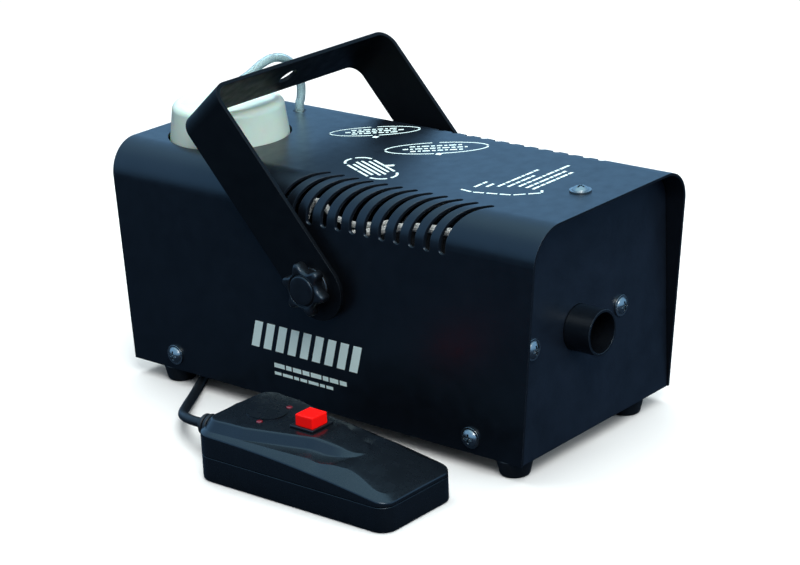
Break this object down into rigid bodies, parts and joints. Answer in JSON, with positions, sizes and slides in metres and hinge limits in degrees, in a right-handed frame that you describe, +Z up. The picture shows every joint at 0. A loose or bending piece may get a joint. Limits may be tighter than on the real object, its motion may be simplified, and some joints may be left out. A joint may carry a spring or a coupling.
{
  "type": "fog machine",
  "caption": "Compact stage fog machine with a tilting bracket, star knobs, a top-filled fluid tank under a white cap, and a wired hand remote.",
  "frame": {"origin": "on the ground, under the centre of the box round the machine and its hand remote", "axes": "+Z up, the nozzle points along -Y, the hand remote lies beside the -X side"},
  "size_m": [0.2058, 0.2868, 0.1575],
  "materials": {
    "black_steel": "satin",
    "plain_steel": "satin",
    "screw_steel": "polished",
    "brass": "satin",
    "cast_aluminium": "satin",
    "black_rubber": "matte",
    "grey_rubber": "matte",
    "black_plastic": "matte",
    "gloss_black_plastic": "gloss",
    "white_plastic": "satin",
    "clear_plastic": "gloss",
    "fuse_glass": "gloss",
    "red_plastic": "gloss",
    "green_board": "satin",
    "white_fabric": "matte"
  },
  "bodies": {
    "machine": {"cover": "black_steel", "chassis": "black_steel", "bulkhead": "plain_steel", "case_screws": "screw_steel", "rubber_feet": "black_rubber", "foot_screws": "screw_steel", "left_stud": "screw_steel", "right_stud": "screw_steel", "spacer_washers": "black_rubber", "rivet_nuts": "brass", "tank": "white_plastic", "suction_hose": "clear_plastic", "pickup_filter": "brass", "hose_grommet": "black_rubber", "pump_body": "white_plastic", "pump_coil": "black_plastic", "pump_yoke": "plain_steel", "pump_spring": "screw_steel", "pump_mount": "plain_steel", "delivery_hose": "clear_plastic", "heater_block": "cast_aluminium", "heater_element": "screw_steel", "nozzle_jet": "brass", "nozzle_tube": "black_steel", "insulation": "white_fabric", "heater_carrier": "plain_steel", "heater_saddle": "plain_steel", "thermostat": "brass", "thermal_fuse": "white_plastic", "heater_leads": "white_fabric", "wiring_harness": "black_plastic", "terminal_block": "white_plastic", "power_inlet": "black_plastic", "inlet_pins": "screw_steel", "switch_body": "black_plastic", "remote_socket": "plain_steel", "remote_plug": "black_plastic", "remote_cable": "black_rubber", "strain_relief": "black_rubber", "remote_top": "gloss_black_plastic", "remote_base": "gloss_black_plastic", "button_bezel": "black_plastic", "remote_lights": "red_plastic", "remote_board": "green_board", "remote_switch": "black_plastic", "remote_screws": "screw_steel"},
    "bracket": {"bracket": "black_steel"},
    "left_washer": {"left_clamp_washer": "plain_steel"},
    "left_knob": {"left_knob": "black_plastic"},
    "right_washer": {"right_clamp_washer": "plain_steel"},
    "right_knob": {"right_knob": "black_plastic"},
    "seal": {"cap_seal": "grey_rubber"},
    "cap": {"tank_cap": "white_plastic"},
    "plunger": {"pump_plunger": "plain_steel"},
    "button": {"remote_button": "red_plastic", "switch_plunger": "white_plastic"},
    "rocker": {"switch_rocker": "red_plastic"},
    "drawer": {"fuse_drawer": "black_plastic", "fuse": "fuse_glass"}
  },
  "joints": [
    {"name": "bracket_tilt", "type": "hinge", "parent": "machine", "child": "bracket", "pos_m": [0.0308, -0.0187, 0.072], "axis": [1, 0, 0], "range_deg": [-1, 96]},
    {"name": "left_knob_travel", "type": "slide", "parent": "machine", "child": "left_washer", "axis": [-1, 0, 0], "range_m": [0, 0.001]},
    {"name": "left_knob_turn", "type": "hinge", "parent": "left_washer", "child": "left_knob", "pos_m": [-0.0335, -0.0187, 0.072], "axis": [-1, 0, 0], "range_deg": [0, 360]},
    {"name": "right_knob_travel", "type": "slide", "parent": "machine", "child": "right_washer", "axis": [1, 0, 0], "range_m": [0, 0.001]},
    {"name": "right_knob_turn", "type": "hinge", "parent": "right_washer", "child": "right_knob", "pos_m": [0.0951, -0.0187, 0.072], "axis": [1, 0, 0], "range_deg": [0, 360]},
    {"name": "cap_lift", "type": "slide", "parent": "machine", "child": "seal", "axis": [0, 0, 1], "range_m": [0, 0.0015]},
    {"name": "cap_turn", "type": "hinge", "parent": "seal", "child": "cap", "pos_m": [0.0175, 0.0765, 0.13], "axis": [0, 0, 1], "range_deg": [0, 180]},
    {"name": "pump_stroke", "type": "slide", "parent": "machine", "child": "plunger", "axis": [0, 0, 1], "range_m": [-0.006, 0], "deforming": ["pump_spring"]},
    {"name": "button_press", "type": "slide", "parent": "machine", "child": "button", "axis": [0, 0, -1], "range_m": [0, 0.0014]},
    {"name": "power_switch", "type": "hinge", "parent": "machine", "child": "rocker", "pos_m": [0.0668, 0.1068, 0.052], "axis": [1, 0, 0], "range_deg": [-16, 0]},
    {"name": "fuse_slide", "type": "slide", "parent": "machine", "child": "drawer", "axis": [0, 1, 0], "range_m": [0, 0.012]}
  ],
  "couplings": [
    {"joint": "left_knob_travel", "follows": "left_knob_turn", "m_per_rad": 0.00015915},
    {"joint": "right_knob_travel", "follows": "right_knob_turn", "m_per_rad": 0.00015915},
    {"joint": "cap_lift", "follows": "cap_turn", "m_per_rad": 0.00047746}
  ]
}
